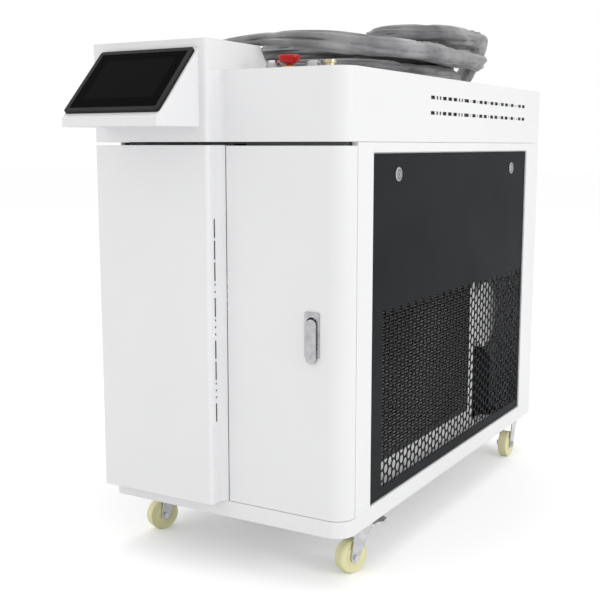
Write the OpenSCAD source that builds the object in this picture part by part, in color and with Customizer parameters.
// Laser cleaning machine on four casters, with its hose coiled in the tray on top.
// It stands on z = 0, the door and the screen face -Y, and the black vent panel is on +X.

/* [Body] */
// Width across the two side panels.
body_w = 540; // [420:5:700]
// Depth from the tower's front face to the rear face.
body_d = 1146; // [1000:1:1400]
// Height of the base pan's underside above the floor.
base_z = 108.5; // [100:0.5:140]
// Height of the base pan.
base_h = 32.5; // [25:0.5:45]
// Height of the tower and the door above the base pan.
shell_h = 688; // [600:1:800]
// How far the tower stands in front of the door.
tower_lead = 38; // [25:1:60]
// Radius of the body's upright corners.
corner_r = 38; // [20:1:38]
// Radius of the tower's upright corners.
tower_r = 8; // [4:1:20]
// Radius of the inside corner between the tower and the door.
fillet_r = 14; // [8:1:20]
// Thickness of the sheet metal.
sheet = 1.5; // [1:0.1:2]
// Gap between two covers.
seam = 1.5; // [1:0.1:3]
// Side of the square frame tube.
tube = 30; // [20:1:40]

/* [Hood] */
// Gap between the shell and the hood.
hood_gap = 6; // [3:0.5:10]
// Height of the hood up to its lip.
hood_h = 131; // [100:1:180]
// Depth of the tray below the lip.
tray_depth = 10; // [6:1:20]
// Width of the lip round the tray.
lip_w = 12; // [8:1:20]
// Height of the cowl above the lip.
cowl_rise = 55; // [40:1:80]
// Depth of the cowl's flat top.
cowl_d = 180; // [120:1:200]
// Run of the cowl's rear slope.
cowl_run = 50; // [30:1:60]
// Height of a vent hole in the hood.
hood_vent = 7; // [5:0.5:10]

/* [Console] */
// Width of the screen housing.
console_w = 226; // [180:1:250]
// How far the housing stands in front of the tower.
console_reach = 123; // [90:1:140]
// Height of the housing's slope.
console_drop = 127; // [100:1:150]
// Height of the housing's front edge.
console_edge = 15; // [8:1:25]
// Slope length of the screen's border.
bezel_l = 160; // [120:1:168]
// Width of the screen's border.
bezel_rim = 9; // [8:1:20]
// Thickness of the screen's border.
bezel_t = 6; // [4:0.5:8]

/* [Vent panel] */
// Length of a vent panel.
panel_l = 876; // [800:1:900]
// Height of a vent panel.
panel_h = 668; // [600:1:680]
// Distance from the tower's front face to the panel.
panel_y = 142; // [130:1:160]
// Gap round a vent panel.
panel_gap = 2; // [1:0.5:4]
// Thickness of a vent panel.
panel_t = 2; // [1.5:0.5:3]
// Distance between hole rows.
hole_pitch = 44; // [36:1:60]
// Distance across a vent hole's corners.
hole_w = 39; // [20:1:40]
// Diameter of a quarter turn lock.
lock_d = 27; // [20:1:32]

/* [Door] */
// Depth of the door's inner edges.
door_flange = 12; // [8:1:16]
// Diameter of a door hinge pin.
door_pin_d = 5; // [4:0.5:6]
// Width of the latch frame.
latch_w = 30.5; // [28:0.5:40]
// Height of the latch frame.
latch_h = 84.5; // [70:0.5:100]
// Width of the latch lever.
lever_w = 21.5; // [16:0.5:25]
// Length of the latch lever.
lever_l = 81.6; // [60:0.1:90]

/* [Controls] */
// Diameter of the stop button's red head.
stop_head_d = 41; // [36:0.5:46]
// Diameter of the stop button's yellow base.
stop_base_d = 34; // [30:1:40]
// Travel of the stop button.
stop_travel = 4; // [3:0.5:6]
// Diameter of a control's bezel.
bezel_d = 28; // [24:0.5:32]
// Travel of the power button.
power_travel = 3; // [2:0.5:4]
// Diameter of the gas coupling's collar.
coupling_d = 24; // [18:0.5:27]

/* [Casters] */
// Diameter of a wheel.
wheel_d = 67; // [50:1:75]
// Width of a wheel.
wheel_w = 25; // [18:1:30]
// Diameter of an axle.
axle_d = 8; // [6:0.5:10]
// How far a wheel trails behind its swivel.
trail = 21; // [15:1:25]
// Distance from the tower's front face to the front swivels.
swivel_y = 170; // [150:1:180]
// Distance from the rear face to the rear swivels.
swivel_rear = 84; // [76:1:110]
// Distance from a side face to the swivels on it.
swivel_side = 38; // [35:1:60]
// Turn of the front casters as they stand, in degrees.
front_turn = -24; // [-30:1:30]

/* [Hose] */
// Diameter of the hose in its sleeve.
hose_d = 40; // [34:1:44]
// Distance between two loops side by side.
loop_pitch = 50; // [46:1:60]
// Distance between two layers of loops.
layer_pitch = 42; // [41:1:60]

/* [Fits] */
// Radial clearance of a running fit.
run_gap = 0.05; // [0.02:0.01:0.1]
// Gap between a moving piece and what it passes.
pass_gap = 1; // [0.5:0.1:2]

/* [Hidden] */
$fn = 48;
over = 1;
half_w = body_w / 2;
shell_z = base_z + base_h;
shell_top = shell_z + shell_h;
hood_z = shell_top + hood_gap;
lip_z = hood_z + hood_h;
tray_z = lip_z - tray_depth;
cowl_z = lip_z + cowl_rise;
door_y = tower_lead;
rear_y = body_d;
rear_stand = 17;
mid_y = (body_d + rear_stand - console_reach) / 2;
pan_t = 3;
pan_z = base_z + pan_t;
frame_inset = 20;
frame_x = half_w - frame_inset;
post_inset = 44;
post_y = door_y + post_inset;
frame_rear = rear_y - frame_inset;
side_y = door_y + corner_r + seam;
white = "#e8e8e8";
black = "#303234";
steel = "#b8bcc0";

module block(a, b) translate(a) cube(b - a);
module rod_x(p, d, l) translate(p) rotate([0, 90, 0]) cylinder(d = d, h = l);
module rod_y(p, d, l) translate(p) rotate([-90, 0, 0]) cylinder(d = d, h = l);
module rod_z(p, d, l) translate(p) cylinder(d = d, h = l);
module place() translate([0, -mid_y, 0]) children();

module round_rect(a, b, r) {
    translate([a[0] + r, a[1]]) square([b[0] - a[0] - 2 * r, b[1] - a[1]]);
    translate([a[0], a[1] + r]) square([b[0] - a[0], b[1] - a[1] - 2 * r]);
    for (x = [a[0] + r, b[0] - r], y = [a[1] + r, b[1] - r]) translate([x, y]) circle(r = r);
}

// The body's outline in plan, moved in by a distance.
module plan(inset) {
    round_rect([-half_w + inset, door_y + inset], [half_w - inset, rear_y - inset],
        corner_r - inset);
}

// The pan's outline, with a small radius under the tower.
module pan_plan(inset) {
    plan(inset);
    round_rect([-half_w + inset, door_y + inset], [-inset, side_y * 2], tower_r - inset);
}

module base_pan() {
    color(white) difference() {
        translate([0, 0, base_z]) linear_extrude(base_h) pan_plan(0);
        translate([0, 0, pan_z]) linear_extrude(base_h) pan_plan(pan_t);
        for (x = [-half_w / 2, half_w / 2], y = [body_d / 3, body_d * 2 / 3])
            rod_z([x, y, base_z - over], tube, pan_t + 2 * over);
    }
}

module post(x, y) block([x, y, pan_z], [x + tube, y + tube, hood_z - tube]);
module inner_frame() {
    color("#9aa0a4") {
        for (x = [-frame_x, frame_x - tube], y = [post_y, frame_rear - tube]) post(x, y);
        post(-tube / 3, post_y);
        for (x = [-frame_x, frame_x - tube])
            block([x, post_y, hood_z - tube], [x + tube, frame_rear, hood_z]);
        for (y = [post_y, frame_rear - tube])
            block([-frame_x + tube, y, hood_z - tube], [frame_x - tube, y + tube, hood_z]);
        for (x = [-frame_x, frame_x - tube], z = [shelf_z - tube])
            block([x + shelf_inset(x), post_y + tube, z],
                [x + shelf_inset(x) + tube / 2, frame_rear - tube, z + tube]);
    }
}
shelf_z = shell_z + shell_h * 0.62;
function shelf_inset(x) = x < 0 ? 0 : tube / 2;

// Opening for a vent panel.
open_y = panel_y - panel_gap;
open_l = panel_l + 2 * panel_gap;
panel_rise = 3;
open_z = shell_z + panel_rise;
open_h = panel_h + 2 * panel_gap;
ledge = 12;
ledge_in = 6.5;
panel_seat = 0.2;
ledge_x = half_w - ledge_in;
hood_seam = 0.5;
module side_sheet() {
    difference() {
        union() {
            translate([0, 0, shell_z]) linear_extrude(shell_h + hood_gap - hood_seam) {
                difference() {
                    plan(0);
                    plan(sheet);
                    translate([-half_w - over, 0])
                        square([body_w - corner_r + over, body_d + over]);
                    translate([0, 0]) square([body_w, side_y]);
                }
                translate([half_w - ledge, side_y]) square([ledge, sheet]);
            }
            block([ledge_x, open_y - sheet, open_z - sheet],
                [half_w, open_y + open_l + sheet, open_z + open_h + sheet]);
        }
        block([ledge_x + sheet, open_y, open_z],
            [half_w + over, open_y + open_l, open_z + open_h]);
        block([ledge_x - over, open_y + ledge, open_z + ledge],
            [half_w, open_y + open_l - ledge, open_z + open_h - ledge]);
        block([ledge_x - over, open_y, open_z], [half_w, open_y + open_l, open_z + ledge + over]);
    }
}
// The right panel tilts on two short studs in the ends of its recess.
stud_d = 3;
stud_l = 20;
stud_rise = 2;
stud_x = ledge_x + sheet + panel_seat + panel_t / 2;
stud_z = open_z + panel_gap + stud_rise;
module side_panel_right() {
    color(white) difference() {
        side_sheet();
        for (y = [open_y - sheet - over, open_y + open_l - over])
            rod_y([stud_x, y, stud_z], stud_d + 2 * run_gap, sheet + 2 * over);
    }
}
module side_panel_left() { color(white) mirror([1, 0, 0]) side_sheet(); }

louvre_l = 240;
louvre_h = 4;
module rear_panel() {
    louvre_shares = [0.16, 0.2, 0.24, 0.28, 0.32, 0.36, 0.4, 0.44];
    color(white) difference() {
        block([-half_w + corner_r + seam, rear_y - sheet, shell_z],
            [half_w - corner_r - seam, rear_y, shell_top]);
        for (s = louvre_shares)
            block([-louvre_l / 2, rear_y - sheet - over, shell_z + shell_h * s],
                [louvre_l / 2, rear_y + over, shell_z + shell_h * s + louvre_h]);
        rod_y([fill_x, rear_y - sheet - over, fill_z], fill_d * stem_share + 2 * run_gap,
            sheet + 2 * over);
        rod_y([mains_x, rear_y - sheet - over, mains_z], mains_d, sheet + 2 * over);
    }
}
fill_x = -half_w * 0.5;
fill_z = shell_z + shell_h * 0.8;
fill_d = 60;
mains_x = half_w * 0.5;
mains_z = shell_z + shell_h * 0.1;
mains_d = 20;
cable_bore = 12;
gland_rim = 3;
stem_share = 0.7;
module fill_cap() {
    color(black) {
        rod_y([fill_x, rear_y - rear_stand, fill_z], fill_d * stem_share, 2 * rear_stand);
        rod_y([fill_x, rear_y + seam / 4, fill_z], fill_d, rear_stand - seam / 4);
        block([fill_x - fill_d / 8, rear_y + rear_stand / 2, fill_z - fill_d * 0.55],
            [fill_x + fill_d / 8, rear_y + rear_stand, fill_z + fill_d * 0.55]);
    }
}
module mains_gland() {
    color(black) difference() {
        union() {
            rod_y([mains_x, rear_y - rear_stand, mains_z], mains_d, rear_stand);
            translate([mains_x, rear_y, mains_z]) rotate([-90, 0, 0])
                cylinder(d = mains_d * 1.5, h = rear_stand - gland_rim, $fn = 6);
        }
        rod_y([mains_x, rear_y - rear_stand - over, mains_z], cable_bore, 3 * rear_stand);
    }
}
gauge_w = 40;
gauge_h = 120;
gauge_t = 6;
module level_gauge() {
    color("#cfe0e8") block([fill_x - gauge_w / 2, rear_y, fill_z - 2 * gauge_h],
        [fill_x + gauge_w / 2, rear_y + gauge_t, fill_z - gauge_h]);
}

// Tower cover with its side vents.
vent_w = 4.5;
dash = 37;
vent_step = 13.6;
// Rows of the vent pattern: how many steps each slot takes.
vent_steps = [3, 3, 3, 1, 1, 3, 1, 1, 1, 3, 3, 1, 1, 1, 3];
function vent_start(i) = i == 0 ? 0 : vent_start(i - 1) + vent_steps[i - 1];
module tower_plan(inset) {
    round_rect([-half_w + inset, inset], [-inset, side_y * 2], tower_r - inset);
}
module inside_corner() {
    translate([0, tower_lead - fillet_r]) difference() {
        intersection() {
            translate([fillet_r, 0]) circle(r = fillet_r + sheet);
            translate([-sheet, 0]) square([fillet_r + sheet - over, fillet_r + sheet]);
        }
        translate([fillet_r, 0]) circle(r = fillet_r);
    }
}
module tower_cover() {
    color(white) difference() {
        translate([0, 0, shell_z]) union() {
            linear_extrude(shell_h) {
                difference() {
                    tower_plan(0);
                    tower_plan(sheet);
                    translate([-half_w - over, side_y - seam])
                        square([body_w, 2 * side_y]);
                    translate([-2 * sheet, tower_lead - fillet_r])
                        square([4 * sheet, 2 * side_y]);
                }
                inside_corner();
            }
            for (z = [0, shell_h - sheet]) translate([0, 0, z]) linear_extrude(sheet)
                intersection() {
                    tower_plan(0);
                    translate([-half_w, 0]) square([half_w - sheet, tower_lead]);
                }
        }
        side_vents();
    }
}
module side_vents() {
    top = shell_top - shell_h * 0.2;
    translate([-2 * tower_r, 0, 0]) rotate([90, 0, 90]) linear_extrude(3 * tower_r)
        for (i = [0 : len(vent_steps) - 1]) {
            long = vent_steps[i] > 1 ? dash - vent_w : 0;
            z = top - vent_start(i) * vent_step;
            translate([tower_lead / 2, z]) circle(d = vent_w);
            if (long > 0) {
                translate([tower_lead / 2, z - long]) circle(d = vent_w);
                translate([(tower_lead - vent_w) / 2, z - long]) square([vent_w, long]);
            }
        }
}

// Hood with the cowl in front and the hose tray behind.
row_shares = [0.45, 0.686];
vent_y = 398;
vent_gap = 8.26;
// Lengths of the vents of one row, as shares of their height.
vent_shares = [3, 1.2, 1.2, 3, 3, 3, 1.2, 1.2, 4, 0.7, 3, 0.7, 3, 3, 0.7, 3, 3, 0.7, 3, 3,
    0.7, 3, 0.7, 0.7, 3, 3];
function vent_at(i) = i == 0 ? vent_y : vent_at(i - 1) + vent_gap + hood_vent * vent_shares[i - 1];
function vent_tall(i) = hood_vent * min(1, vent_shares[i]);
module hood_plan(inset) {
    plan(inset);
    round_rect([-half_w + inset, inset], [-inset, side_y * 2], tower_r - inset);
    if (inset == 0) translate([0, tower_lead - fillet_r]) difference() {
        square(fillet_r);
        translate([fillet_r, 0]) circle(r = fillet_r);
    }
}
module cowl_side(inset) {
    polygon([[inset, hood_z], [inset, cowl_z - inset], [cowl_d - inset, cowl_z - inset],
        [cowl_d + cowl_run - inset, tray_z - sheet], [cowl_d + cowl_run - inset, hood_z]]);
}
module cowl_body(inset) {
    intersection() {
        translate([-half_w + inset, 0, 0]) rotate([90, 0, 90])
            linear_extrude(half_w - 2 * inset) cowl_side(inset);
        translate([0, 0, hood_z]) linear_extrude(hood_h + 2 * cowl_rise)
            round_rect([-half_w + inset, inset], [-inset, body_d / 2], tower_r - inset);
    }
}
module hood() {
    color(white) difference() {
        union() {
            difference() {
                translate([0, 0, hood_z]) linear_extrude(hood_h) hood_plan(0);
                translate([0, 0, tray_z]) linear_extrude(2 * tray_depth)
                    round_rect([-half_w + lip_w, door_y + lip_w], [half_w - lip_w, rear_y - lip_w],
                        corner_r - lip_w);
            }
            cowl_body(0);
        }
        translate([0, 0, hood_z + sheet]) linear_extrude(hood_h - tray_depth - 2 * sheet)
            hood_plan(sheet);
        translate([0, 0, hood_z - over]) linear_extrude(2 * over + sheet) difference() {
            hood_plan(sheet);
            difference() {
                plan(sheet);
                plan(frame_inset + tube / 2);
            }
        }
        cowl_body(sheet);
        for (r = row_shares, i = [0 : len(vent_shares) - 1]) {
            z = hood_z + hood_h * r - vent_tall(i) / 2;
            block([-half_w - over, vent_at(i), z],
                [half_w + over, vent_at(i) + hood_vent * vent_shares[i], z + vent_tall(i)]);
        }
        rod_z([gland_x, gland_y + gland_l, tray_z - 2 * sheet], gland_bore, 4 * sheet);
    }
}

// Screen housing on the front of the tower.
housing_shift = 5;
housing_drop = 17;
bezel_margin = 4;
bezel_shift = 4;
glass_drop = 0.4;
housing_x = -half_w / 2 + housing_shift;
slope_a = atan2(console_drop, console_reach);
housing_top = cowl_z - housing_drop;
bezel_w = console_w - 2 * bezel_margin;
module housing_side() {
    polygon([[0, housing_top], [-console_reach, housing_top - console_drop],
        [-console_reach, housing_top - console_drop - console_edge],
        [0, housing_top - console_drop - console_edge]]);
}
housing_chamfer = 5;
module console_housing() {
    color(white) difference() {
        intersection() {
            translate([housing_x - console_w / 2, 0, 0]) rotate([90, 0, 90])
                linear_extrude(console_w) housing_side();
            translate([housing_x, 0, hood_z]) linear_extrude(hood_h + cowl_rise)
                polygon([[-console_w / 2, 0], [console_w / 2, 0],
                    [console_w / 2, -console_reach * 0.77],
                    [console_w / 2 - housing_chamfer, -console_reach],
                    [-console_w / 2 + housing_chamfer, -console_reach],
                    [-console_w / 2, -console_reach * 0.77]]);
        }
        on_slope() translate([-bezel_w / 2 + bezel_rim, bezel_up + bezel_rim,
            -bezel_t * 2]) cube([bezel_w - 2 * bezel_rim, bezel_l - 2 * bezel_rim, bezel_t * 3]);
    }
}
slope_l = norm([console_reach, console_drop]);
bezel_up = (slope_l - bezel_l) / 2 + bezel_shift;
// Moves a shape onto the slope: x across, y up the slope from its front edge, z out of it.
module on_slope() {
    translate([housing_x, -console_reach, housing_top - console_drop])
        rotate([slope_a, 0, 0]) children();
}
module screen_bezel() {
    color(black) on_slope() translate([0, bezel_up, 0]) difference() {
        linear_extrude(bezel_t) round_rect([-bezel_w / 2, 0], [bezel_w / 2, bezel_l], bezel_t);
        translate([0, 0, -over]) linear_extrude(bezel_t * 2) square_mid();
    }
}
module square_mid() {
    translate([-bezel_w / 2 + bezel_rim, bezel_rim])
        square([bezel_w - 2 * bezel_rim, bezel_l - 2 * bezel_rim]);
}
module screen_glass() {
    color("#181a1c") on_slope() translate([0, bezel_up, -bezel_t * 2])
        linear_extrude(bezel_t * 3 - glass_drop) square_mid();
}

// Door with its hinge and its latch.
door_left = fillet_r + over;
door_z = shell_z + over;
door_h = shell_h - 2 * over;
pin_x = door_left + door_pin_d;
pin_y = door_y + door_pin_d + over;
latch_inset = 70;
latch_rise = 305;
latch_x = half_w - latch_inset;
latch_z = shell_z + latch_rise;
latch_deep = 15;
box_wall = 2;
box_inset = 5;
module door_region() {
    difference() {
        children();
        translate([-half_w - over, 0]) square([half_w + over + door_left, body_d + over]);
        translate([-over, side_y - seam]) square([body_w, body_d]);
    }
}
module front_door() {
    color(white) difference() {
        translate([0, 0, door_z]) {
            linear_extrude(door_h) {
                door_region() difference() {
                    plan(0);
                    plan(sheet);
                }
                translate([door_left, door_y]) square([sheet, door_flange]);
                translate([half_w - door_flange, side_y - seam - sheet])
                    square([door_flange, sheet]);
            }
            for (z = [0, door_h - sheet]) translate([0, 0, z]) linear_extrude(sheet)
                door_region() difference() {
                    plan(0);
                    plan(door_flange);
                }
        }
        rod_z([pin_x, pin_y, door_z - over], door_pin_d + 2 * run_gap, door_h + 2 * over);
        latch_box();
    }
}
module latch_box() {
    block([latch_x - lever_w / 2 - box_wall, door_y - over, latch_z + box_inset],
        [latch_x + lever_w / 2 + box_wall, door_y + latch_deep, latch_z + latch_h - box_inset]);
}
hinge_t = 2.5;
module door_hinges() {
    color(steel) for (top = [0, 1]) {
        z = top == 0 ? shell_z - hinge_t : shell_top;
        block([pin_x - 2 * door_pin_d, door_y + pan_t + seam / 4, z],
            [pin_x + 2 * door_pin_d, post_y, z + hinge_t]);
        rod_z([pin_x, pin_y, top == 0 ? z : z - 3 * door_pin_d], door_pin_d,
            3 * door_pin_d + hinge_t);
    }
}
pivot_drop = 21;
pivot_d = 4;
pivot_z = latch_z + latch_h - pivot_drop;
lever_t = 3.5;
frame_r = 3;
frame_t = 2.5;
lever_hang = 10;
lever_bottom = latch_z - lever_hang;
lever_y = door_y - frame_t - pass_gap;
pocket_l = 48;
pawl_hub = 10;
pawl_t = 3;
pawl_reach = 44;
pawl_rise = 30;
pawl_z = latch_z + pawl_rise;
module latch_frame() {
    half = lever_w / 2;
    color(steel) {
        difference() {
            union() {
                translate([0, door_y, 0]) rotate([90, 0, 0]) linear_extrude(frame_t)
                    round_rect([latch_x - latch_w / 2, latch_z],
                        [latch_x + latch_w / 2, latch_z + latch_h], frame_r);
                latch_box();
            }
            block([latch_x - half - pass_gap, door_y - frame_t - over, pivot_z - pocket_l],
                [latch_x + half + pass_gap, door_y + latch_deep - box_wall, pivot_z]);
            rod_y([latch_x, door_y - frame_t - over, pivot_z], lever_w + 2 * pass_gap,
                latch_deep + frame_t + over - box_wall);
        }
        rod_x([latch_x - half - box_wall, door_y + over, pivot_z], pivot_d,
            lever_w + 2 * box_wall);
        rod_y([latch_x, door_y + latch_deep, pawl_z], pawl_hub, pawl_t + box_wall);
    }
}
module latch_lever() {
    color("#d0d2d4") {
        translate([0, lever_y, 0]) rotate([90, 0, 0]) linear_extrude(lever_t)
            union() {
                translate([latch_x - lever_w / 2, lever_bottom + lever_w / 2])
                    square([lever_w, lever_l - lever_w]);
                for (z = [lever_w / 2, lever_l - lever_w / 2])
                    translate([latch_x, lever_bottom + z]) circle(d = lever_w);
            }
        difference() {
            union() {
                block([latch_x - lever_w / 5, lever_y, pivot_z - pivot_d],
                    [latch_x + lever_w / 5, door_y + over, pivot_z + pivot_d]);
                rod_x([latch_x - lever_w / 5, door_y + over, pivot_z], 2 * pivot_d,
                    2 * lever_w / 5);
            }
            rod_x([latch_x - lever_w, door_y + over, pivot_z], pivot_d + 2 * run_gap, 2 * lever_w);
        }
    }
}
module latch_pawl() {
    y = door_y + latch_deep;
    color(steel) difference() {
        union() {
            rod_y([latch_x, y, pawl_z], 2 * pawl_hub, pawl_t);
            block([latch_x, y, pawl_z - pawl_hub / 2],
                [latch_x + pawl_reach, y + pawl_t, pawl_z + pawl_hub / 2]);
        }
        rod_y([latch_x, y - over, pawl_z], pawl_hub + 2 * run_gap, pawl_t + 2 * over);
    }
}

// Perforated vent panels with their quarter turn locks.
panel_z = open_z + panel_gap;
panel_x = ledge_x + sheet + panel_seat;
lock_front = 111;
lock_rear = 108;
lock_drop = 40;
lock_ys = [panel_y + lock_front, panel_y + panel_l - lock_rear];
lock_z = panel_z + panel_h - lock_drop;
holes_inset = 48;
holes_rise = 24;
holes_h = 357;
holes_y = panel_y + holes_inset;
holes_l = panel_l - holes_inset - holes_inset / 2;
holes_z = panel_z + holes_rise;
hole_cols = floor(holes_l / hole_pitch / sin(60));
hole_rows = floor(holes_h / hole_pitch) - 1;
function ring(c, d) = [for (k = [0 : 5]) c + d / 2 * [cos(60 * k), sin(60 * k)]];
cells = [for (i = [0 : hole_cols - 1], j = [0 : hole_rows - 1])
    [holes_y + hole_w / 2 + i * hole_pitch * sin(60),
        holes_z + hole_w / 2 + (j + (i % 2) / 2) * hole_pitch]];
module panel_face() {
    edge = [[panel_y, panel_z], [panel_y + panel_l, panel_z],
        [panel_y + panel_l, panel_z + panel_h], [panel_y, panel_z + panel_h]];
    points = concat(edge, [for (c = cells) for (q = ring(c, hole_w)) q]);
    paths = concat([[0, 1, 2, 3]],
        [for (k = [0 : len(cells) - 1]) [for (m = [0 : 5]) len(edge) + 6 * k + m]]);
    polygon(points, paths);
}
module vent_sheet(x) {
    translate([x, 0, 0]) rotate([90, 0, 90]) linear_extrude(panel_t) panel_face();
}
barrel_in = 2;
barrel_d = lock_d - 2 * barrel_in;
module vent_panel_right() {
    color(black) {
        difference() {
            vent_sheet(panel_x);
            for (y = lock_ys) rod_x([panel_x - over, y, lock_z], barrel_d + 2 * run_gap,
                panel_t + 2 * over);
        }
        for (y = [open_y - sheet, open_y + open_l + sheet - stud_l])
            rod_y([stud_x, y, stud_z], stud_d, stud_l);
    }
}
screw_d = 9;
screw_h = 1.2;
screw_inset = 12;
// The left panel doesn't open: it sits on its ledge and is held by six screws.
module vent_panel_left() {
    x = panel_x - panel_seat;
    color(black) mirror([1, 0, 0]) {
        vent_sheet(x);
        for (y = [panel_y + screw_inset, panel_y + panel_l / 2, panel_y + panel_l - screw_inset],
                z = [panel_z + screw_inset, panel_z + panel_h - screw_inset])
            rod_x([x + panel_t, y, z], screw_d, screw_h);
    }
}
lock_deep = 8;
lock_face = 1.3;
tongue_w = 10;
tongue_l = 26;
tongue_t = 3;
slot_w = 2;
groove_in = 4;
groove_w = 1.5;
groove_deep = 0.7;
groove_x = panel_x + panel_t + lock_face - groove_deep;
module panel_lock(y) {
    color(steel) difference() {
        union() {
            rod_x([panel_x - lock_deep, y, lock_z], barrel_d, panel_t + lock_deep);
            rod_x([panel_x + panel_t, y, lock_z], lock_d, lock_face);
            block([panel_x - lock_deep, y - tongue_w / 2, lock_z],
                [panel_x - lock_deep + tongue_t, y + tongue_w / 2, lock_z + tongue_l]);
        }
        block([panel_x + panel_t, y - slot_w / 2, lock_z - lock_d / 4],
            [half_w, y + slot_w / 2, lock_z + lock_d / 4]);
        difference() {
            rod_x([groove_x, y, lock_z], lock_d - groove_in, lock_face);
            rod_x([groove_x - over, y, lock_z], lock_d - groove_in - 2 * groove_w,
                lock_face + 2 * over);
        }
    }
}
module lock_front_right() { panel_lock(lock_ys[0]); }
module lock_rear_right() { panel_lock(lock_ys[1]); }

// Controls behind the front lip, from left to right.
control_inset = 74;
control_y = door_y + lip_w + control_inset;
gas_inset = 83;
gas_step_x = 34;
key_step_x = 52;
stop_step_x = 35;
gas_x = half_w - gas_inset;
key_x = gas_x - gas_step_x;
stop_x = key_x - key_step_x;
power_x = stop_x - stop_step_x;
stop_base_h = 18;
stem_d = 12;
neck_d = 24;
neck_h = 4;
head_h = 14;
head_edge = 4;
module stop_base() {
    color("#e8c41e") difference() {
        union() {
            rod_z([stop_x, control_y, tray_z], stop_base_d, stop_base_h / 2);
            translate([stop_x, control_y, tray_z + stop_base_h / 2])
                cylinder(d1 = stop_base_d, d2 = stop_base_d * 0.8, h = stop_base_h / 2);
        }
        rod_z([stop_x, control_y, tray_z - over], stem_d + 2 * run_gap, stop_base_h + 2 * over);
    }
}
module stop_button() {
    neck = tray_z + stop_base_h + stop_travel + pass_gap;
    color("#c8281e") {
        rod_z([stop_x, control_y, tray_z + stop_travel + pass_gap], stem_d, stop_base_h);
        rod_z([stop_x, control_y, neck], neck_d, neck_h);
        translate([stop_x, control_y, neck + neck_h / 2]) rotate_extrude() polygon([[0, 0],
            [stop_head_d / 2 - head_edge, 0], [stop_head_d / 2, head_h * 0.6],
            [stop_head_d / 2, head_h - head_edge / 2], [stop_head_d / 2 - head_edge / 2, head_h],
            [0, head_h]]);
    }
}
bezel_h = 26;
bezel_step = 4;
collar = 3;
module bezel(x, d, bore) {
    difference() {
        union() {
            rod_z([x, control_y, tray_z], d, bezel_h - bezel_step);
            translate([x, control_y, tray_z + bezel_h - bezel_step])
                cylinder(d1 = d, d2 = d - bezel_step, h = bezel_step);
            rod_z([x, control_y, tray_z], d + 2 * collar, bezel_step);
        }
        rod_z([x, control_y, tray_z + bezel_step], bore, bezel_h);
    }
}
cap_d = 19;
module power_bezel() { color("#c8cacc") bezel(power_x, bezel_d, cap_d + 2 * run_gap); }
module power_button() {
    color("#d8dadc") rod_z([power_x, control_y, tray_z + bezel_step + power_travel + pass_gap],
        cap_d, bezel_h - bezel_step);
}
plug_d = 16;
slot_l = 9;
slot_deep = 8;
module key_switch() { color("#c8cacc") bezel(key_x, bezel_d, plug_d + 2 * run_gap); }
module key_barrel() {
    top = tray_z + bezel_h;
    color(steel) difference() {
        rod_z([key_x, control_y, tray_z + bezel_step + pass_gap], plug_d, bezel_h - bezel_step);
        block([key_x - slot_w / 2, control_y - slot_l / 2, top - slot_deep],
            [key_x + slot_w / 2, control_y + slot_l / 2, top + 2 * pass_gap]);
    }
}
gas_bore = 10;
nut_h = 9;
gas_step = 6;
gas_top = 6;
module gas_coupling() {
    hex_z = tray_z + gas_step;
    color("#a08a50") difference() {
        union() {
            rod_z([gas_x, control_y, tray_z], coupling_d + gas_step, gas_step);
            translate([gas_x, control_y, hex_z]) cylinder(d = coupling_d + collar, h = nut_h,
                $fn = 6);
            rod_z([gas_x, control_y, hex_z + nut_h], coupling_d - gas_step, gas_step);
            rod_z([gas_x, control_y, hex_z + nut_h + gas_step], coupling_d, gas_top);
        }
        rod_z([gas_x, control_y, hex_z + collar], gas_bore, nut_h + gas_step + gas_top);
    }
}

// Casters.
plate_t = 3;
race_h = 8;
race_d = 44;
king_d = 10;
king_head = 16;
king_gap = 0.3;
leg_t = 3;
leg_w = 26;
plate_l = 74;
plate_w = 60;
bolt_d = 8;
crown_z = base_z - plate_t - race_h;
gap_w = wheel_w + 2 * pass_gap;
leg_half = leg_w * 0.8;
function swivel_at(front, right) = [right * (half_w - swivel_side),
    front == 1 ? swivel_y : rear_y - swivel_rear];
function turn_of(front) = front == 1 ? front_turn : 0;
module at_caster(front, right) {
    translate(concat(swivel_at(front, right), [0])) rotate([0, 0, turn_of(front)]) children();
}
module caster_mounts() {
    under = crown_z - leg_t;
    color(steel) for (f = [0, 1], r = [-1, 1]) translate(concat(swivel_at(f, r), [0])) {
        block([-plate_w / 2, -plate_l / 2, base_z - plate_t], [plate_w / 2, plate_l / 2, base_z]);
        rod_z([0, 0, crown_z + king_gap], race_d, race_h);
        rod_z([0, 0, under - king_gap - plate_t], king_d, race_h + leg_t + plate_t + king_gap);
        rod_z([0, 0, under - king_gap - plate_t], king_head, plate_t);
        for (x = [-1, 1], y = [-1, 1])
            translate([x * (plate_w / 2 - bolt_d), y * (plate_l / 2 - bolt_d),
                base_z - plate_t - bolt_d / 2]) cylinder(d = bolt_d * 1.6, h = bolt_d / 2, $fn = 6);
    }
}
module fork(front, right) {
    color("#c4c8cc") at_caster(front, right) {
        difference() {
            union() {
                block([-gap_w / 2 - leg_t, -leg_half, crown_z - leg_t],
                    [gap_w / 2 + leg_t, leg_half, crown_z]);
                for (s = [-1, 1]) translate([s * (gap_w + leg_t) / 2 - leg_t / 2, 0, 0])
                    rotate([90, 0, 90]) linear_extrude(leg_t) leg_side();
            }
            rod_z([0, 0, crown_z - leg_t - over], king_d + 2 * run_gap, leg_t + 2 * over);
            rod_x([-wheel_w, -trail, wheel_d / 2], axle_d, 2 * wheel_w);
        }
        if (front == 1) {
            for (s = [-1, 1]) translate([s * (gap_w + leg_t) / 2 - leg_t / 2, leg_w * 0.7,
                brake_z - ear_h / 2]) cube([leg_t, ear_l, ear_h]);
            rod_x([-gap_w / 2, brake_y, brake_z], brake_pin_d, gap_w);
        }
    }
}
leg_drop = 8;
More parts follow.
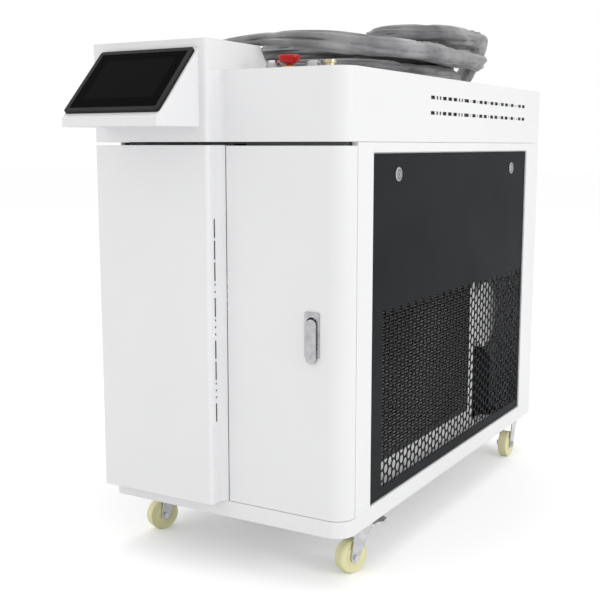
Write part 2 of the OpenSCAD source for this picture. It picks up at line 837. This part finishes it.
module leg_side() {
    polygon([[-leg_half, crown_z], [leg_half, crown_z], [leg_w * 0.7, crown_z - leg_drop],
        [-trail + leg_w * 0.42, wheel_d / 2], [-trail - leg_w * 0.42, wheel_d / 2]]);
    translate([-trail, wheel_d / 2]) circle(d = leg_w * 0.84);
}
tread = 4;
rim = 2;
module wheel(front, right) {
    half = wheel_w / 2;
    hub = wheel_d / 4;
    edge = wheel_d / 2;
    bore = axle_d / 2 + run_gap;
    color("#dcd7a0") at_caster(front, right) translate([0, -trail, edge])
        rotate([0, 90, 0]) rotate_extrude() polygon([[bore, -half], [hub, -half],
            [hub + rim, -half + rim], [edge - tread, -half + rim],
            [edge - tread / 2, -half + rim / 2], [edge, -half + tread], [edge, half - tread],
            [edge - tread / 2, half - rim / 2], [edge - tread, half - rim],
            [hub + rim, half - rim], [hub, half], [bore, half]]);
}
nut_t = 7;
head_t = 5;
module axle(front, right) {
    reach = gap_w / 2 + leg_t;
    color(steel) at_caster(front, right) translate([0, -trail, wheel_d / 2]) {
        rod_x([-reach - nut_t - over, 0, 0], axle_d, 2 * reach + nut_t + over);
        for (s = [-1, 1]) translate([s < 0 ? -reach - nut_t : reach, 0, 0]) rotate([0, 90, 0])
            cylinder(d = axle_d * 1.7, h = s < 0 ? nut_t : head_t, $fn = 6);
    }
}
ear_h = 8;
ear_l = 12;
brake_w = gap_w - 2 * pass_gap;
brake_y = leg_half + ear_h / 2;
brake_drop = 9;
brake_z = crown_z - brake_drop;
brake_pin_d = 5;
pedal_l = 36;
pedal_tip = 8;
pedal_t = 4;
module brake(right) {
    color(steel) at_caster(1, right) difference() {
        union() {
            translate([-brake_w / 2, 0, 0]) rotate([90, 0, 90]) linear_extrude(brake_w)
                polygon([[brake_y, brake_z - pedal_t], [brake_y, brake_z + pedal_t],
                    [brake_y + pedal_l * 0.75, brake_z + pedal_t / 2],
                    [brake_y + pedal_l, brake_z + pedal_tip],
                    [brake_y + pedal_l, brake_z + pedal_tip - pedal_t],
                    [brake_y + pedal_l * 0.75, brake_z - pedal_t / 2]]);
            rod_x([-brake_w / 2, brake_y, brake_z], ear_h, brake_w);
        }
        rod_x([-brake_w, brake_y, brake_z], brake_pin_d + 2 * run_gap, 2 * brake_w);
    }
}
module fork_front_left() { fork(1, -1); }
module fork_front_right() { fork(1, 1); }
module fork_rear_left() { fork(0, -1); }
module fork_rear_right() { fork(0, 1); }
module wheel_front_left() { wheel(1, -1); }
module wheel_front_right() { wheel(1, 1); }
module wheel_rear_left() { wheel(0, -1); }
module wheel_rear_right() { wheel(0, 1); }
module axle_front_left() { axle(1, -1); }
module axle_front_right() { axle(1, 1); }
module axle_rear_left() { axle(0, -1); }
module axle_rear_right() { axle(0, 1); }
module brake_front_left() { brake(-1); }
module brake_front_right() { brake(1); }

// Chiller: condenser, fan, compressor, tank and pump on the base pan.
cond_y = panel_y + holes_inset;
cond_l = 560;
cond_post = 30;
cond_w = 44;
cond_h = shell_h * 75 / 172;
cond_stand = shell_h * 7 / 43;
cond_gap = 4;
cond_x = frame_x - tube / 2 - cond_w - cond_gap;
cond_z = pan_z + cond_stand;
header_h = 12;
fin_count = 22;
fin_t = 2;
module condenser() {
    fin_step = (cond_l - fin_t) / (fin_count - 1);
    color("#c8ccd0") {
        block([cond_x, cond_y, pan_z], [cond_x + cond_w, cond_y + cond_l, cond_z]);
        block([cond_x, cond_y + cond_l, pan_z],
            [cond_x + cond_w, cond_y + cond_l + cond_post, cond_z + cond_h]);
        for (z = [cond_z, cond_z + cond_h - header_h])
            block([cond_x, cond_y, z], [cond_x + cond_w, cond_y + cond_l, z + header_h]);
        for (i = [0 : fin_count - 1])
            block([cond_x, cond_y + i * fin_step, cond_z],
                [cond_x + cond_w, cond_y + i * fin_step + fin_t, cond_z + cond_h]);
    }
}
fan_d = cond_h * 5 / 6;
fan_gap = 4;
fan_z = cond_z + cond_h / 2;
fan_y = cond_y + cond_l / 2;
shroud_t = 50;
shroud_rim = 18;
shroud_half = fan_d / 2 + shroud_rim;
shroud_x = cond_x - shroud_t;
strut_w = 16;
strut_t = 3;
motor_d = 60;
motor_l = 33;
shaft_d = 8;
rotor_l = 30;
rotor_gap = 5;
module fan_shroud() {
    color(black) {
        difference() {
            block([shroud_x, fan_y - shroud_half, fan_z - shroud_half],
                [cond_x, fan_y + shroud_half, fan_z + shroud_half]);
            rod_x([shroud_x - over, fan_y, fan_z], fan_d + 2 * fan_gap, shroud_t + 2 * over);
        }
        block([shroud_x, fan_y - strut_w / 2, fan_z - shroud_half],
            [shroud_x + strut_t, fan_y + strut_w / 2, fan_z + shroud_half]);
        rod_x([shroud_x + strut_t - motor_l, fan_y, fan_z], motor_d, motor_l);
        rod_x([shroud_x, fan_y, fan_z], shaft_d, rotor_l);
    }
}
blade_count = 5;
hub_d = 50;
blade_w = 40;
blade_t = 2;
blade_turn = 25;
module fan_rotor() {
    x = shroud_x + strut_t + rotor_gap;
    color("#404448") difference() {
        union() {
            rod_x([x, fan_y, fan_z], hub_d, rotor_l);
            for (i = [0 : blade_count - 1]) translate([x + rotor_l / 3, fan_y, fan_z])
                rotate([i * 360 / blade_count, 0, 0]) rotate([0, 0, blade_turn])
                translate([-blade_t / 2, -blade_w / 2, hub_d / 3])
                cube([blade_t, blade_w, (fan_d - hub_d) / 2]);
        }
        rod_x([x - over, fan_y, fan_z], shaft_d + 2 * run_gap, rotor_l + 2 * over);
    }
}
comp_inset = 101;
comp_x = frame_x * 0.452;
comp_y = frame_rear - tube - comp_inset + tube / 2;
comp_d = frame_x * 0.6;
comp_h = 200;
foot_t = 6;
comp_stem = 20;
pipe_d = 10;
pipe_l = 140;
module compressor() {
    color(black) translate([comp_x, comp_y, pan_z]) {
        block([-comp_d / 2, -comp_d / 2, 0], [comp_d / 2, comp_d / 2, foot_t]);
        rod_z([0, 0, foot_t], comp_d * 0.3, comp_stem);
        rod_z([0, 0, comp_stem], comp_d, comp_h * 0.7);
        translate([0, 0, comp_stem + comp_h * 0.7])
            cylinder(d1 = comp_d, d2 = comp_d * 0.6, h = comp_h * 0.15);
        rod_z([0, comp_d * 0.45, comp_h * 0.6], pipe_d, pipe_l);
    }
}
tank_w = frame_x * 0.8;
tank_l = 300;
tank_h = 330;
tank_t = 3;
tank_gap = 10;
tank_x = -frame_x + tube + tank_gap;
tank_y = frame_rear - tube - tank_l - tank_gap;
tank_cap_d = 50;
drum_d = frame_x * 0.68;
drum_inset = 116;
drum_rise = 281;
tank_cap_h = 20;
module water_tank() {
    cap = [tank_x + tank_w / 2, tank_y + tank_l - tank_cap_d, pan_z + tank_h - tank_t];
    drum = [tank_x + tank_w - tank_t, tank_y + tank_l - drum_inset, pan_z + drum_rise];
    color("#e4ecf0") difference() {
        union() {
            block([tank_x, tank_y, pan_z], [tank_x + tank_w, tank_y + tank_l, pan_z + tank_h]);
            rod_x(drum, drum_d, tank_w);
        }
        rod_x(drum - [over, 0, 0], drum_d - 2 * tank_t, tank_w - tank_t);
        block([tank_x + tank_t, tank_y + tank_t, pan_z + tank_t],
            [tank_x + tank_w - tank_t, tank_y + tank_l - tank_t, pan_z + tank_h - tank_t]);
        rod_z(cap - [0, 0, over], tank_cap_d, tank_t + 2 * over);
    }
    color(black) rod_z(cap, tank_cap_d, tank_cap_h);
}
pump_d = 90;
pump_l = 100;
head_d = 70;
head_l = 30;
port_d = 24;
port_l = 60;
module water_pump() {
    axis_z = pump_d * 0.6;
    color("#3c5a78") translate([tank_x + tank_w / 2, tank_y - pump_l - head_l / 2, pan_z]) {
        block([-pump_l / 2, -pump_l / 2, 0], [pump_l / 2, pump_l / 2, foot_t]);
        rod_y([0, -pump_l / 2, axis_z], pump_d, pump_l);
        rod_y([0, pump_l / 2, axis_z], head_d, head_l);
        rod_y([0, pump_l / 2, axis_z], port_d, port_l);
        block([-pump_d / 3, -pump_l / 2, foot_t], [pump_d / 3, pump_l / 3, axis_z / 2]);
        rod_z([0, pump_l / 2 + port_d / 2, axis_z], port_d, pump_d);
    }
}

// Laser source, power supply and electrical plate.
module upper_shelf() {
    color("#c0c4c8") block([-frame_x, post_y + tube, shelf_z],
        [frame_x, frame_rear - tube, shelf_z + sheet]);
}
laser_w = frame_x * 1.52;
laser_l = 480;
laser_h = 133;
laser_inset = 80;
laser_y = post_y + tube + laser_inset;
grip_w = 12;
grip_l = 24;
module laser_source() {
    bottom = shelf_z + sheet;
    color("#50555a") {
        block([-laser_w / 2, laser_y, bottom], [laser_w / 2, laser_y + laser_l, bottom + laser_h]);
        for (x = [-laser_w / 3, laser_w / 3]) block([x - grip_w / 2, laser_y - grip_l,
            bottom + laser_h * 0.3], [x + grip_w / 2, laser_y, bottom + laser_h * 0.7]);
    }
}
supply_w = frame_x * 1.28;
supply_l = 220;
supply_h = 90;
supply_gap = 60;
supply_fan = 60;
supply_fan_t = 12;
module power_supply() {
    y = laser_y + laser_l + supply_gap;
    bottom = shelf_z + sheet;
    color("#b4b8bc") {
        block([-supply_w / 2, y, bottom], [supply_w / 2, y + supply_l, bottom + supply_h]);
        for (s = [-1, 0, 1]) rod_y([s * supply_w / 3, y - supply_fan_t, bottom + supply_h / 2],
            supply_fan, supply_fan_t);
    }
}
board_rise = 110;
board_h = 250;
board_t = 2;
relay_w = frame_x * 0.192;
relay_l = 40;
relay_h = 80;
relay_gap = frame_x * 0.048;
strip_w = frame_x * 0.6;
strip_l = 30;
strip_h = 50;
module electrical_plate() {
    z = shell_z + board_rise;
    y = post_y + tube;
    left = -frame_x + 2 * tube;
    color("#d0d4d6") block([-frame_x, y, z], [frame_x, y + board_t, z + board_h]);
    color(black) {
        for (i = [0 : 2]) block([left + i * (relay_w + relay_gap), y - relay_l, z + board_h * 0.6],
            [left + i * (relay_w + relay_gap) + relay_w, y, z + board_h * 0.6 + relay_h]);
        for (i = [0 : 2]) block([2 * tube + i * relay_w, y - relay_l, z + board_h * 0.6],
            [2 * tube + i * relay_w + relay_l, y, z + board_h * 0.6 + relay_h]);
        block([left, y - strip_l, z + strip_l], [left + strip_w, y, z + strip_l + strip_h]);
    }
}

// Hose: a gland in the tray, a pile of loops, and the stretches to the gland and the gun.
lay_gap = 1;
hose_z = tray_z + hose_d / 2 + lay_gap;
coil_x = 5;
coil_side = 45;
coil_front = 15;
// Body width and depth that the hose's points are chosen for.
route_w = 540;
route_d = 1146;
route_z = 977;
function fit(p) = [p[0] * body_w / route_w, p[1] * body_d / route_d, p[2] - route_z + hose_z];
coil_mid = [0, 565, route_z];
coil_y = fit(coil_mid)[1];
coil_a = half_w - coil_side;
coil_b = coil_y - cowl_d - cowl_run - coil_front;
turns_in = 2;
turns_all = 3.5;
loop_rings = 24;
function back_and_forth(t) = t < turns_in ? t : (t < turns_in + 0.5 ? turns_in
    : 2 * turns_in + 0.5 - t);
// Power that makes a loop fuller at its corners than an ellipse.
loop_power = 0.85;
function fuller(v) = sign(v) * pow(abs(v), loop_power);
function coil_point(t) = let (inward = loop_pitch * back_and_forth(t))
    [coil_x + (coil_a - inward) * fuller(cos(180 + 360 * t)),
    coil_y + (coil_b - inward) * fuller(sin(180 + 360 * t)),
    hose_z + layer_pitch * max(0, min(1, 2 * (t - turns_in)))];
coil_route = [for (i = [0 : turns_all * loop_rings]) coil_point(i / loop_rings)];
tail_ys = [1020, 940, 860, 780, 700, 630, 565];
tail_route = [for (y = tail_ys) [coil_x - coil_a, fit([0, y, 0])[1], hose_z]];
lead_start = [[180, 565, 1019], [180, 620, 1019]];
lead_rest = [[172, 700, 1019], [145, 768, 1019], [85, 822, 1019], [5, 840, 1019],
    [-80, 824, 1019], [-152, 770, 1019], [-200, 680, 1020], [-220, 565, 1021],
    [-212, 440, 1023], [-175, 325, 1032], [-115, 240, 1041], [-45, 200, 1044],
    [30, 198, 1042], [105, 225, 1033], [170, 290, 1024], [212, 375, 1021],
    [230, 480, 1020], [233, 600, 1020], [232, 710, 1021], [215, 796, 1025],
    [165, 842, 1040], [95, 842, 1056], [40, 798, 1062], [14, 725, 1062],
    [17, 640, 1062], [50, 568, 1062], [108, 530, 1063], [168, 548, 1063],
    [204, 612, 1064], [213, 696, 1066], [210, 775, 1071], [198, 842, 1076],
    [170, 904, 1050], [134, 946, 1013], [100, 974, 988], [78, 1000, 979],
    [67, 1024, 977], [65, 1050, 977]];
lead_route = concat([for (p = lead_start) [coil_x + coil_a - loop_pitch, fit(p)[1], fit(p)[2]]],
    [for (p = lead_rest) fit(p)]);
gland_x = tail_route[0][0];
gland_y = tail_route[0][1];
gland_bore = 20;
function unit(v) = v / norm(v);
function along(p, i) = unit(p[min(i + 1, len(p) - 1)] - p[max(i - 1, 0)]);
function tube_ring(p, i, d, sides) = let (t = along(p, i), s = unit(cross(t, [0, 0, 1])),
    u = cross(s, t)) [for (k = [0 : sides - 1])
        p[i] + d / 2 * (cos(360 * (k + 0.5) / sides) * s + sin(360 * (k + 0.5) / sides) * u)];
module swept(p, d, sides) {
    points = [for (i = [0 : len(p) - 1]) each tube_ring(p, i, d, sides)];
    faces = concat([[for (k = [0 : sides - 1]) k]],
        [for (i = [0 : len(p) - 2], k = [0 : sides - 1]) [i * sides + k, (i + 1) * sides + k,
            (i + 1) * sides + (k + 1) % sides, i * sides + (k + 1) % sides]],
        [[for (k = [sides - 1 : -1 : 0]) (len(p) - 1) * sides + k]]);
    polyhedron(points, faces);
}
// Least gap of the coil to itself, measured between points more than a quarter turn apart.
function coil_gap() = min([for (i = [0 : len(coil_route) - 1], j = [i + 7 : len(coil_route) - 1])
    norm(coil_route[i] - coil_route[j])]) - hose_d;
echo(coil_gap = coil_gap());
module hose_coil() { color("#8c8c90") swept(coil_route, hose_d, 6); }
module hose_tail() { color("#8c8c90") swept(tail_route, hose_d, 8); }
module hose_lead() { color("#8c8c90") swept(lead_route, hose_d, 8); }
gland_d = 41;
gland_l = 50;
module hose_gland() {
    elbow_y = gland_y + gland_l;
    color(steel) {
        rod_y([gland_x, gland_y, hose_z], gland_d, gland_l);
        translate([gland_x, elbow_y, hose_z]) sphere(d = gland_d);
        rod_z([gland_x, elbow_y, tray_z], gland_d, hose_z - tray_z);
    }
}

// Hand-held cleaning gun, lying in the tray behind the pile.
gun_d = hose_d + 2 * lay_gap;
gun_z = tray_z + gun_d / 2;
gun_x = lead_route[len(lead_route) - 1][0];
gun_y = lead_route[len(lead_route) - 1][1];
boot_l = 12;
neck_l = 30;
neck_in = 4;
barrel_step = 40;
barrel_y = gun_y + barrel_step;
barrel_l = 150;
cone_l = 60;
tip_l = 40;
tip_gap = 30;
grip_side = 35;
grip_from = 95;
grip_drop = 60;
grip_top = 10;
ear_gap = 7;
ear_t = 2;
trigger_in = 86;
trigger_w = 10;
trigger_half = 6;
trigger_reach = 22;
trigger_x = gun_x - trigger_in;
trigger_y = gun_y + boot_l;
trigger_pin_d = 3;
trigger_eye = 4;
module gun_body() {
    side_x = gun_x - barrel_l;
    color("#3a3d40") {
        rod_y([gun_x, gun_y, gun_z], gun_d, boot_l);
        rod_y([gun_x, gun_y + boot_l, gun_z], gun_d - 2 * neck_in, neck_l);
        translate([gun_x, barrel_y, gun_z]) sphere(d = gun_d);
        rod_x([side_x, barrel_y, gun_z], gun_d, barrel_l);
        for (z = [-ear_gap - ear_t, ear_gap])
            block([trigger_x - trigger_w / 2, trigger_y - trigger_eye, gun_z + z],
                [trigger_x + trigger_w / 2, barrel_y, gun_z + z + ear_t]);
        rod_z([trigger_x, trigger_y, gun_z - ear_gap - ear_t], trigger_pin_d,
            2 * ear_gap + 2 * ear_t);
        block([gun_x - grip_from - grip_side, gun_y - grip_drop, gun_z - gun_d / 2],
            [gun_x - grip_from, barrel_y, gun_z + grip_top]);
    }
    color("#c8ccd0") {
        translate([side_x, barrel_y, gun_z]) rotate([0, -90, 0])
            cylinder(d1 = gun_d, d2 = gun_d * 0.5, h = cone_l);
        rod_x([side_x - cone_l - tip_gap, barrel_y, gun_z], gun_d * 0.3, tip_l);
    }
}
module gun_trigger() {
    half = trigger_w * 0.4;
    color("#c8281e") difference() {
        block([trigger_x - half, trigger_y - trigger_reach, gun_z - trigger_half],
            [trigger_x + half, trigger_y + trigger_eye, gun_z + trigger_half]);
        rod_z([trigger_x, trigger_y, gun_z - ear_gap], trigger_pin_d + 2 * run_gap, 2 * ear_gap);
    }
}

place() base_pan();
place() inner_frame();
place() side_panel_left();
place() side_panel_right();
place() rear_panel();
place() tower_cover();
place() hood();
place() console_housing();
place() screen_bezel();
place() screen_glass();
place() front_door();
place() door_hinges();
place() latch_frame();
place() latch_lever();
place() latch_pawl();
place() vent_panel_left();
place() vent_panel_right();
place() lock_front_right();
place() lock_rear_right();
place() stop_base();
place() stop_button();
place() power_bezel();
place() power_button();
place() key_switch();
place() key_barrel();
place() gas_coupling();
place() caster_mounts();
place() fork_front_left();
place() fork_front_right();
place() fork_rear_left();
place() fork_rear_right();
place() wheel_front_left();
place() wheel_front_right();
place() wheel_rear_left();
place() wheel_rear_right();
place() axle_front_left();
place() axle_front_right();
place() axle_rear_left();
place() axle_rear_right();
place() brake_front_left();
place() brake_front_right();
place() condenser();
place() fan_shroud();
place() fan_rotor();
place() compressor();
place() water_tank();
place() water_pump();
place() upper_shelf();
place() laser_source();
place() power_supply();
place() electrical_plate();
place() fill_cap();
place() mains_gland();
place() level_gauge();
place() hose_gland();
place() hose_coil();
place() hose_tail();
place() hose_lead();
place() gun_body();
place() gun_trigger();
